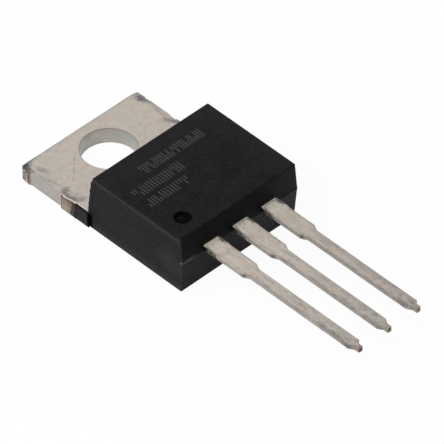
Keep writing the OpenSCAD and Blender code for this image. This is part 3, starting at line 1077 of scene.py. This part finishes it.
def tin_base(g, shift):
    """Mottled tin: pinkish where the copper shows through and grey elsewhere. Gives its grain."""
    blotch = g.noise(2.4, 4, 0.65, shift=shift)
    pink = g.ramp(blotch, 0.32, (0.445, 0.386, 0.338), 0.68, (0.523, 0.461, 0.405))
    grey = g.ramp(blotch, 0.32, (0.425, 0.391, 0.35), 0.68, (0.506, 0.465, 0.416))
    g.colour = g.mix(g.noise(0.7, 3, shift=shift).span(0.4, 0.62), pink, grey)
    g.stain(g.noise(5.5, 3, 0.7, shift=shift + 3).span(0.56, 0.7), 0.3, (0.33, 0.31, 0.285))
    return g.noise(16, 2, 0.6, shift=shift)


def finish_tin(g, grain, relief):
    uneven = grain * 0.5 + relief * 0.5
    return g.finish(grain.spread(0.5, 0.68), uneven, 0.008, Metallic=TIN_METALLIC)


# Stains on the front of the tab: centre, radii, turn in degrees, strength and colour. The darkest and the
# blue-grey ones are painted shade where the press drew the edge down.
DARK_DENT_SHADE = (0.03, 0.034, 0.042)
SCUFFED = (0.16, 0.155, 0.15)
RUBBED = (0.2, 0.175, 0.155)
SCRATCHED = (0.2, 0.19, 0.18)
BLUE_DENT_SHADE = (0.12, 0.12, 0.135)
TAB_STAINS = [
    # Painted shade in the dents of the free corner on the ground lead's side
    ((-4.95, 2.6, 1.2), (0.6, 0.42, 0.45), 0, 1.0, DARK_DENT_SHADE),
    ((-4.98, 2.15, 1.25), (0.2, 0.5, 0.35), 0, 0.85, DARK_DENT_SHADE),
    ((-4.4, 2.7, 1.25), (0.9, 0.2, 0.3), 0, 0.7, SCUFFED),
    ((-4.5, 1.6, 1.27), (0.28, 0.75, 0.3), 21, 0.5, RUBBED),
    ((-4.45, 1.5, 1.27), (0.24, 0.22, 0.3), 0, 0.35, RUBBED),
    ((-4.5, 1.0, 1.27), (0.5, 0.9, 0.3), 0, 0.15, RUBBED),
    ((-4.97, 0.7, 1.27), (0.16, 1.4, 0.3), 0, 0.45, SCUFFED),
    ((-4.75, 0.1, 1.27), (0.12, 0.9, 0.25), 10, 0.45, SCUFFED),
    # Painted shade round the ground lead's ear, where the edge is drawn down
    ((-4.74, -0.92, 1.25), (0.5, 0.36, 0.4), 0, 0.8, (0.12, 0.12, 0.14)),
    ((-4.98, -1.4, 1.2), (0.34, 0.85, 0.4), 5, 0.95, (0.09, 0.092, 0.105)),
    ((-4.82, -1.98, 1.2), (0.3, 0.5, 0.4), 30, 0.75, (0.13, 0.13, 0.145)),
    ((-4.5, -2.28, 1.25), (0.5, 0.26, 0.3), -12, 0.6, (0.19, 0.19, 0.2)),
    ((-4.6, -1.6, 1.27), (0.45, 0.9, 0.3), 12, 0.35, (0.22, 0.22, 0.23)),
    # Painted shade in the free corner on the input lead's side
    ((4.72, 2.05, 1.2), (0.5, 0.62, 0.4), 0, 0.9, (0.09, 0.09, 0.095)),
    ((4.9, 1.6, 1.25), (0.3, 0.7, 0.3), 0, 0.65, SCUFFED),
    ((4.75, 0.5, 1.27), (0.25, 1.0, 0.25), -10, 0.4, SCUFFED),
    # Painted shade round the input lead's ear
    ((4.6, -0.8, 1.2), (0.75, 0.28, 0.4), -55, 0.65, BLUE_DENT_SHADE),
    ((4.85, -1.05, 1.2), (0.25, 0.3, 0.4), 0, 0.6, BLUE_DENT_SHADE),
    ((5.0, -1.5, 1.2), (0.4, 0.8, 0.4), 0, 0.75, SCUFFED),
    ((-3.0, 0.1, 1.27), (0.08, 0.45, 0.2), -42, 0.55, SCRATCHED),
    ((-2.3, 0.8, 1.27), (0.08, 0.4, 0.2), -42, 0.55, SCRATCHED),
    ((-3.6, -0.5, 1.27), (0.08, 0.35, 0.2), -42, 0.45, SCRATCHED),
]


def stain_hole(g):
    """Wall of the hole: drawn lines, paler towards the ground lead's side, and a brownish rim."""
    from_axis = g.length(g.vector("MULTIPLY", {0: g.place, 1: (1, 1, 0)}))
    in_hole = from_axis.span(HOLE_R + 0.02, HOLE_R + 0.005)
    drawn = g.noise(9, 3, 0.6, stretch=(0.12, 0.12, 1), shift=12).span(0.42, 0.62)
    smudged = g.spot((-0.1, HOLE_R, 0.95), (0.45, 0.4, 0.4))
    g.stain(in_hole * drawn, 0.35, (0.24, 0.225, 0.20))
    g.stain(in_hole * g.x.span(1.7, -0.9), 0.9, (0.715, 0.705, 0.673))
    g.stain(in_hole * g.x.span(1.4, 1.75), 0.6, (0.385, 0.40, 0.39))
    g.stain(in_hole * smudged, 0.45, (0.36, 0.35, 0.33))
    rim = from_axis.span(HOLE_R + 0.05, HOLE_R + 0.01) * g.z.span(TAB_T - 0.1, TAB_T - 0.05)
    g.stain(rim, 0.6, (0.20, 0.165, 0.13))


def tab_material():
    g = Graph("tinned_copper_tab")
    grain = tin_base(g, 2)
    from_edge = (FREE_EDGE_Y - g.y).ragged(0.12, g.noise(4, shift=6))
    g.stain(from_edge.span(0.28, 0.02), 0.55, (0.30, 0.295, 0.285))
    for centre, radii, turn, strength, tint in TAB_STAINS:
        g.stain(g.spot(centre, radii, turn), strength, tint)
    g.stain(g.on_side() * abs(g.x).span(4.6, 4.8), 0.45, (0.30, 0.315, 0.305))
    stain_hole(g)
    # A bright burr along the edge over one sheared stub and its seam, and a dark line at its start
    burr = g.x.ragged(0.03, g.noise(5, shift=37)).span(0.055 - relief_half, 0.03 - relief_half)
    g.stain(burr * g.y.band(-3.2, -0.8, 0.1), 0.6, (0.74, 0.6, 0.55))
    start = g.x.span(0.01 - relief_half, -relief_half) * g.y.band(-1.05, -0.94, 0.02)
    g.stain(start, 0.7, (0.09, 0.055, 0.045))
    return finish_tin(g, grain, g.noise(5, stretch=(1, 0.12, 1), shift=9))


# Dark smudges on the leads: centre, radii, turn in degrees and strength
LEAD_SMUDGES = [
    ((-2.92, -24.75, 2.72), (0.4, 0.55, 0.25), 0, 0.8),
    ((-2.94, -23.7, 2.95), (0.22, 0.9, 0.25), 4, 0.55),
    ((-2.88, -22.5, 2.95), (0.14, 0.7, 0.3), -4, 0.4),
    ((-0.4, -24.9, 2.7), (0.3, 0.4, 0.2), 0, 0.5),
    ((2.15, -24.6, 2.8), (0.3, 0.5, 0.3), 0, 0.5),
    ((2.6, -25.0, 2.95), (0.35, 0.25, 0.3), 30, 0.35),
]


def stain_lead_length(g, streak):
    """Along the whole lead: duller towards the tips, and tarnish, greenish in places and pinkish in
    others.
    """
    y = g.y
    g.stain(y.span(-13.8, -25.6), 0.85, (0.42, 0.378, 0.342))
    on_pin = y.span(shoulder_y + 0.3, shoulder_y - 0.5, 0.35, 1)
    g.stain(on_pin * streak.span(0.5, 0.64), 0.4, (0.22, 0.205, 0.185))
    hue = g.noise(2.4, 3, 0.6, stretch=(1, 0.6, 1), shift=31)
    g.stain(hue.span(0.5, 0.6), 0.4, (0.42, 0.41, 0.35))
    g.stain(hue.span(0.46, 0.38), 0.4, (0.49, 0.40, 0.375))
    g.stain(g.noise(7, 3, 0.7, shift=21).span(0.53, 0.66), 0.4, (0.24, 0.23, 0.20))
    pits = g.noise(8, 3, 0.65, stretch=(1, 0.3, 1), shift=33).span(0.53, 0.61)
    g.stain(pits * on_pin, 0.36, (0.18, 0.17, 0.155))
    grime = g.noise(3.5, 3, 0.65, stretch=(1, 0.7, 1), shift=43).span(0.5, 0.62)
    g.stain(y.span(-19, -25) * grime, 0.5, (0.16, 0.155, 0.14))
    clouds = g.noise(2.6, 4, 0.65, stretch=(1, 0.8, 1), shift=57)
    worn_end = y.span(-21.5, -24)
    g.stain(worn_end * clouds.span(0.5, 0.6), 0.35, (0.25, 0.24, 0.225))
    g.stain(worn_end * clouds.span(0.46, 0.38), 0.35, (0.62, 0.56, 0.51))
    for centre, radii, turn, strength in LEAD_SMUDGES:
        g.stain(g.spot(centre, radii, turn), strength, (0.07, 0.07, 0.065))


def stain_lead_edges(g, signed, half, front):
    """A line inside the root's edges, and past the shoulders a dark edge and painted shade on each lead's
    far side. Also painted shade over the leads towards the input lead.
    """
    x, y, z = g.x, g.y, g.z
    line = (half - abs(signed)).ragged(0.04, g.noise(3, stretch=(1, 0.4, 1), shift=15))
    broken = g.noise(1.6, 3, 0.6, stretch=(1, 0.5, 1), shift=17).span(0.4, 0.6, 0.3, 1)
    on_root = y.span(shoulder_y - SHOULDER_LEN, shoulder_y)
    g.stain(line.band(0.08, 0.14, 0.02) * broken * on_root, 0.55, (0.11, 0.105, 0.095))
    past_shoulder = y.span(shoulder_y, shoulder_y - 0.5)
    edging = (half + signed).span(0.095, 0.06) * z.span(LEAD_TOP_Z - 0.16, LEAD_TOP_Z - 0.1)
    g.stain(edging * broken * past_shoulder, 0.35, (0.11, 0.105, 0.095))
    # Painted shade on the side of each lead away from the ground lead, deeper towards the input lead
    shade = signed.span(-0.02, 0.14) * front * past_shoulder * x.span(-3.5, 2.5)
    g.stain(shade, 0.25, (0.2, 0.18, 0.16))
    # Painted shade: the leads a little darker towards the input lead
    g.stain(x.span(-2, 4), 0.16, (0.20, 0.175, 0.16))
    g.stain(g.on_side(), 0.24, (0.175, 0.175, 0.185))
    # A scuff on each shoulder, on the side of the ground lead
    for place in range(-1, 2):
        shoulder = (place * LEAD_PITCH - ROOT_HALF, shoulder_y - 0.12, LEAD_TOP_Z - 0.2)
        g.stain(g.spot(shoulder, (0.22, 0.36, 0.3)), 0.8, (0.07, 0.07, 0.068))


def stain_lead_root(g, signed, half, front):
    """Where a lead leaves the case: painted light against the case's shade, a bright lip of bare metal
    with a painted highlight, a dark line and stray resin.
    """
    from_case = CASE_END_Y + 0.045 - g.y
    # Painted light: the tin made paler near the case, against the shade the case casts there
    g.stain(from_case.span(1.45, 0.15), 0.95, (1.0, 0.93, 0.8))
    speckle = from_case.span(1.6, 0.8) * g.noise(8, 3, 0.7, shift=23).span(0.5, 0.62)
    g.stain(speckle, 0.4, (0.30, 0.275, 0.225))
    framed = from_case.math("MINIMUM", half - abs(signed) + 0.015)
    framed = framed.ragged(0.025, g.noise(6, shift=19))
    # The bright lip: bare metal, with a painted highlight
    near = from_case.span(0.55, 0.35) * front * g.x.span(-1.4, -1.2)
    g.stain(near * framed.span(0.075, 0.055), 0.95, (1.0, 0.98, 0.94))
    uneven = g.noise(4, shift=51).span(0.35, 0.6, 0.35, 1)
    g.stain(near * uneven * framed.band(0.075, 0.14, 0.025), 0.9, (0.07, 0.065, 0.05))
    # Resin over the edge on the side of the ground lead, and tin eaten away on the other
    crept = (half + signed + from_case * 0.1).ragged(0.04, g.noise(4, 3, 0.6, shift=53))
    crept = crept.span(0.2, 0.12) * from_case.span(0.12, 0.35) * front
    g.stain(crept, 0.65, (0.12, 0.11, 0.09))
    eaten = half - signed + g.noise(6, 3, 0.7, shift=27).span(0.35, 0.65, -0.16, 0.16)
    eaten = eaten.span(0.18, 0.08) * from_case.band(0.2, 0.8, 0.15) * front
    g.stain(eaten, 0.8, (0.05, 0.048, 0.04))
    # The leads' sides darker near the case
    dark_sides_by_case = from_case.ragged(0.4, g.noise(5, 3)).span(1.4, 0.7)
    g.stain(g.on_side() * dark_sides_by_case, 0.8, (0.03, 0.026, 0.022))


def lead_material():
    g = Graph("tinned_copper_lead")
    y = g.y
    grain = tin_base(g, 11)
    g.colour = g.vector("MULTIPLY", {0: g.colour, 1: (1.2, 1.18, 1.175)})
    streak = g.noise(7, 3, 0.6, stretch=(1, 0.1, 1), shift=5)
    stain_lead_length(g, streak)
    signed = g.across_lead()
    half = y.span(shoulder_y - SHOULDER_LEN, shoulder_y, PIN_HALF, ROOT_HALF)
    half = half - y.span(stub_y + TAPER_LEN, stub_y, 0, PIN_HALF - TIP_HALF)
    front = g.z.span(LEAD_TOP_Z - 0.05, LEAD_TOP_Z - 0.02)
    stain_lead_edges(g, signed, half, front)
    stain_lead_root(g, signed, half, front)
    # Copper shows through at the tips
    tip = y.ragged(0.15, g.noise(5, 3)).span(stub_y + 0.12, stub_y - 0.12)
    g.stain(tip, 0.65, g.per_lead((0.30, 0.205, 0.20), (0.29, 0.25, 0.19), (0.29, 0.25, 0.22)))
    return finish_tin(g, grain, streak)


# Stains on the sheared stubs of each side: y, z, radii along y and z, strength and tint
STUB_STAINS = [
    (-1.75, 0.85, 0.5, 0.32, 0.75, (0.30, 0.125, 0.10)),
    (-1.25, 0.3, 0.45, 0.35, 0.7, (0.40, 0.35, 0.26)),
    (2.08, 0.6, 0.06, 0.6, 0.9, (0.13, 0.045, 0.03)),
    (2.18, 0.55, 0.08, 0.6, 0.85, (0.12, 0.055, 0.04)),
    (2.34, 0.45, 0.1, 0.45, 0.8, (0.68, 0.58, 0.52)),
    (2.72, 0.7, 0.22, 0.6, 0.8, (0.33, 0.32, 0.31)),
]


def sheared_material():
    g = Graph("sheared_copper")
    y, z = g.y, g.z
    streak = g.noise(6, 3, 0.6, stretch=(1, 1.6, 0.35))
    grain = g.noise(18, 2, 0.6)
    tone = streak * 0.6 + grain * 0.4
    g.colour = g.ramp(tone, 0.35, (0.24, 0.185, 0.15), 0.65, (0.40, 0.33, 0.28))
    for side in (-1, 1):
        for stain_y, stain_z, length, height, strength, tint in STUB_STAINS:
            centre = (side * TAB_HALF, stain_y, stain_z)
            g.stain(g.spot(centre, (0.3, length, height)), strength, tint)
    # Torn metal on the corner stubs
    torn = g.noise(4, 3, 0.7, shift=41)
    on_corner = y.span(2.0, 2.1)
    g.stain(on_corner * torn.span(0.5, 0.58), 0.5, (0.11, 0.06, 0.05))
    g.stain(on_corner * torn.span(0.44, 0.38), 0.7, (0.66, 0.58, 0.50))
    # Tarnish along the tab's rolled edge, and dark bands at both ends of the side stubs
    rolled = z.ragged(0.1, streak).span(0.9, 1.12) * y.span(-5, -4)
    g.stain(rolled, 0.85, (0.085, 0.055, 0.045))
    slanted = y + z.span(0.2, 1.2, -0.12, 0.08)
    g.stain(slanted.band(-2.4, -1.9, 0.09), 0.85, (0.04, 0.026, 0.02))
    g.stain(y.band(-1.02, -0.9, 0.03), 0.7, (0.07, 0.045, 0.035))
    tip_tint = g.per_lead((0.12, 0.065, 0.065), (0.13, 0.11, 0.085), (0.27, 0.20, 0.16))
    g.stain(y.span(-24, -25), 0.85, tip_tint)
    return g.finish(grain.spread(0.5, 0.7), streak + grain * 0.4, 0.02, Metallic=0.8)


def silicon_material():
    g = Graph("passivated_silicon")
    inputs = {"Vector": g.place, "Scale": 3.0}
    cells = g.value("ShaderNodeTexVoronoi", inputs, "Distance", distance="CHEBYCHEV")
    tone = cells * 0.6 + g.noise(8)
    g.colour = g.ramp(tone, 0.3, (0.06, 0.07, 0.11), 0.8, (0.14, 0.15, 0.2))
    return g.finish(0.25, tone, 0.004, IOR=2.2)


def solder_material():
    g = Graph("die_solder_finish")
    grain = g.noise(9, 3, 0.6)
    g.colour = g.ramp(grain, 0.3, (0.24, 0.24, 0.26), 0.7, (0.34, 0.34, 0.36))
    return g.finish(grain.spread(0.35, 0.55), grain, 0.01, Metallic=1.0)


def wire_material():
    g = Graph("drawn_aluminium")
    drawn = g.noise(12, stretch=(1, 0.3, 1))
    g.colour = g.ramp(drawn, 0.3, (0.58, 0.59, 0.62), 0.7, (0.68, 0.69, 0.72))
    return g.finish(drawn.spread(0.28, 0.42), drawn, 0.004, Metallic=1.0)


# ---- The pieces ----

# Edges that turn by more than this stay sharp
SHARP_ANGLE = math.radians(32)


def dress(piece, material, nodes=()):
    """Gives a piece its finish, its body and what it stands for."""
    piece.data.materials.clear()
    piece.data.materials.append(material)
    for polygon in piece.data.polygons:
        polygon.use_smooth = True
    piece.data.set_sharp_from_angle(angle=SHARP_ANGLE)
    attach(piece, "root")
    if nodes:
        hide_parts(*nodes)


def repaint(piece, material, test):
    """Gives the faces that pass a test on their middle, in millimetres, and normal a material."""
    piece.data.materials.append(material)
    index = len(piece.data.materials) - 1
    for polygon in piece.data.polygons:
        if test(polygon.center / MM, polygon.normal):
            polygon.material_index = index


def in_shade(at, normal):
    """Whether a face of the case is in the pin mark or in the corner behind a seam."""
    from_mark = math.hypot(at.x - pin_mark_x, at.y - pin_mark_y)
    if from_mark < PIN_MARK_R + 0.01 and CASE_H - 0.4 < at.z < CASE_H - 0.03:
        return True
    behind_seam = abs(at.x) > pad_half and -3.72 < at.y < -3.4 and at.z < TAB_T
    return behind_seam and abs(normal.x) + abs(normal.y) > 0.5


def on_stub(at, normal):
    return abs(at.x) > TAB_HALF - 0.04 and abs(normal.x) > 0.6


def on_tip(at, normal):
    return at.y < TIP_Y + 0.04 and normal.y < -0.6


def finish_inner_pieces():
    """The pieces inside the case keep their CAD meshes and get materials."""
    finishes = {"die_solder": solder_material(), "regulator_die": silicon_material()}
    wire_finish = wire_material()
    for name in inner_names():
        for material_slot in frame["nodes"][name].material_slots:
            material_slot.material = finishes.get(name, wire_finish)


resin = resin_material()
tab_tin = tab_material()
lead_tin = lead_material()
sheared = sheared_material()

tab_plate = make_tab()
output_lead = make_output_lead()
ground_lead = make_outer_lead("ground_lead_strip", -LEAD_PITCH, 31)
input_lead = make_outer_lead("input_lead_strip", LEAD_PITCH, 41)
case_shell = make_case([tab_plate, output_lead, ground_lead, input_lead])
laser_code = make_marks()

dress(laser_code, mark_material())
dress(case_shell, resin, ["molded_case"])
dress(tab_plate, tab_tin, ["tab_and_output_lead"])
dress(output_lead, lead_tin)
dress(ground_lead, lead_tin, ["ground_lead"])
dress(input_lead, lead_tin, ["input_lead"])

repaint(case_shell, shaded_resin_material(), in_shade)
repaint(tab_plate, sheared, on_stub)
for lead in (output_lead, ground_lead, input_lead):
    repaint(lead, sheared, on_tip)
finish_inner_pieces()


# ---- Floor, light and camera ----

# Share of plain white in the floor, straight and in reflections; the rest is the lit floor
FLOOR_WHITE_SEEN = 0.94
FLOOR_WHITE_IN_METAL = 0.3
FLOOR_COLOUR = (0.85, 0.85, 0.85, 1)
FLOOR_HALF = 600
FLOOR_MIDDLE = Vector((0, -10, -0.02))


def floor_material():
    g = Graph("plain_white_floor")
    lit = g.add("ShaderNodeBsdfDiffuse", {"Color": FLOOR_COLOUR}).outputs[0]
    white = g.add("ShaderNodeEmission", {"Color": (1, 1, 1, 1), "Strength": 1.0}).outputs[0]
    rays = g.add("ShaderNodeLightPath").outputs
    bounced = Value(g, rays["Is Glossy Ray"]).math("MAXIMUM", rays["Is Transmission Ray"])
    seen = Value(g, rays["Is Camera Ray"]) * FLOOR_WHITE_SEEN
    share = seen.math("MAXIMUM", bounced * FLOOR_WHITE_IN_METAL)
    mixed = g.add("ShaderNodeMixShader", {0: share, 1: lit, 2: white}).outputs[0]
    g.add("ShaderNodeOutputMaterial", {"Surface": mixed})
    return g.material


def make_floor():
    bm = bmesh.new()
    bmesh.ops.create_grid(bm, x_segments=1, y_segments=1, size=FLOOR_HALF)
    bmesh.ops.translate(bm, vec=FLOOR_MIDDLE, verts=bm.verts)
    floor = to_object(bm, "floor")
    floor.data.materials.append(floor_material())


LIGHT_TARGET = Vector((0, -8, 0))
LIGHT_DISTANCE = 350


def softbox(name, direction, size, brightness):
    """Square lamp aimed at the part, as bright as a white wall times brightness."""
    light = bpy.data.lights.new(name, "AREA")
    light.shape = "SQUARE"
    light.size = size * MM
    light.energy = brightness * math.pi * light.size ** 2
    lamp = add_object(name, light)
    away = Vector(direction).normalized()
    lamp.location = (LIGHT_TARGET + away * LIGHT_DISTANCE) * MM
    lamp.rotation_euler = (-away).to_track_quat("-Z", "Y").to_euler()


def make_world(level):
    world = bpy.data.worlds.new("studio")
    bpy.context.scene.world = world
    world.use_nodes = True
    background = world.node_tree.nodes["Background"]
    background.inputs["Color"].default_value = (1, 1, 1, 1)
    background.inputs["Strength"].default_value = level


# The photograph's view: a long lens, looking down on the part from the side of the ground lead
VIEW_AZIMUTH = math.radians(-43.35)
VIEW_ELEVATION = math.radians(43.3)
VIEW_ROLL = math.radians(-0.74)
VIEW_DISTANCE = 524.9
VIEW_TARGET = Vector((-0.141, -10.62, 2.0))
VIEW_LENS = 670.7
SENSOR_WIDTH = 36


def make_camera():
    level_away = Vector((math.sin(VIEW_AZIMUTH), -math.cos(VIEW_AZIMUTH), 0))
    back = level_away * math.cos(VIEW_ELEVATION) + Vector((0, 0, math.sin(VIEW_ELEVATION)))
    right = Vector((0, 0, 1)).cross(back).normalized()
    up = back.cross(right)
    turned_right = right * math.cos(VIEW_ROLL) + up * math.sin(VIEW_ROLL)
    turned_up = up * math.cos(VIEW_ROLL) - right * math.sin(VIEW_ROLL)
    data = bpy.data.cameras.new("camera")
    data.sensor_width = SENSOR_WIDTH
    data.lens = VIEW_LENS
    data.clip_start = 0.01
    camera = add_object("camera", data)
    rotation = Matrix((turned_right, turned_up, back)).transposed().to_4x4()
    place = (VIEW_TARGET + back * VIEW_DISTANCE) * MM
    camera.matrix_world = Matrix.Translation(place) @ rotation
    bpy.context.scene.camera = camera


make_floor()
make_world(level=0.29)
softbox("key", (-0.66, 0.08, 0.75), size=350, brightness=3.7)
softbox("back", (0.5, 0.53, 0.69), size=400, brightness=0.95)
make_camera()
bpy.context.scene.view_settings.view_transform = "Standard"
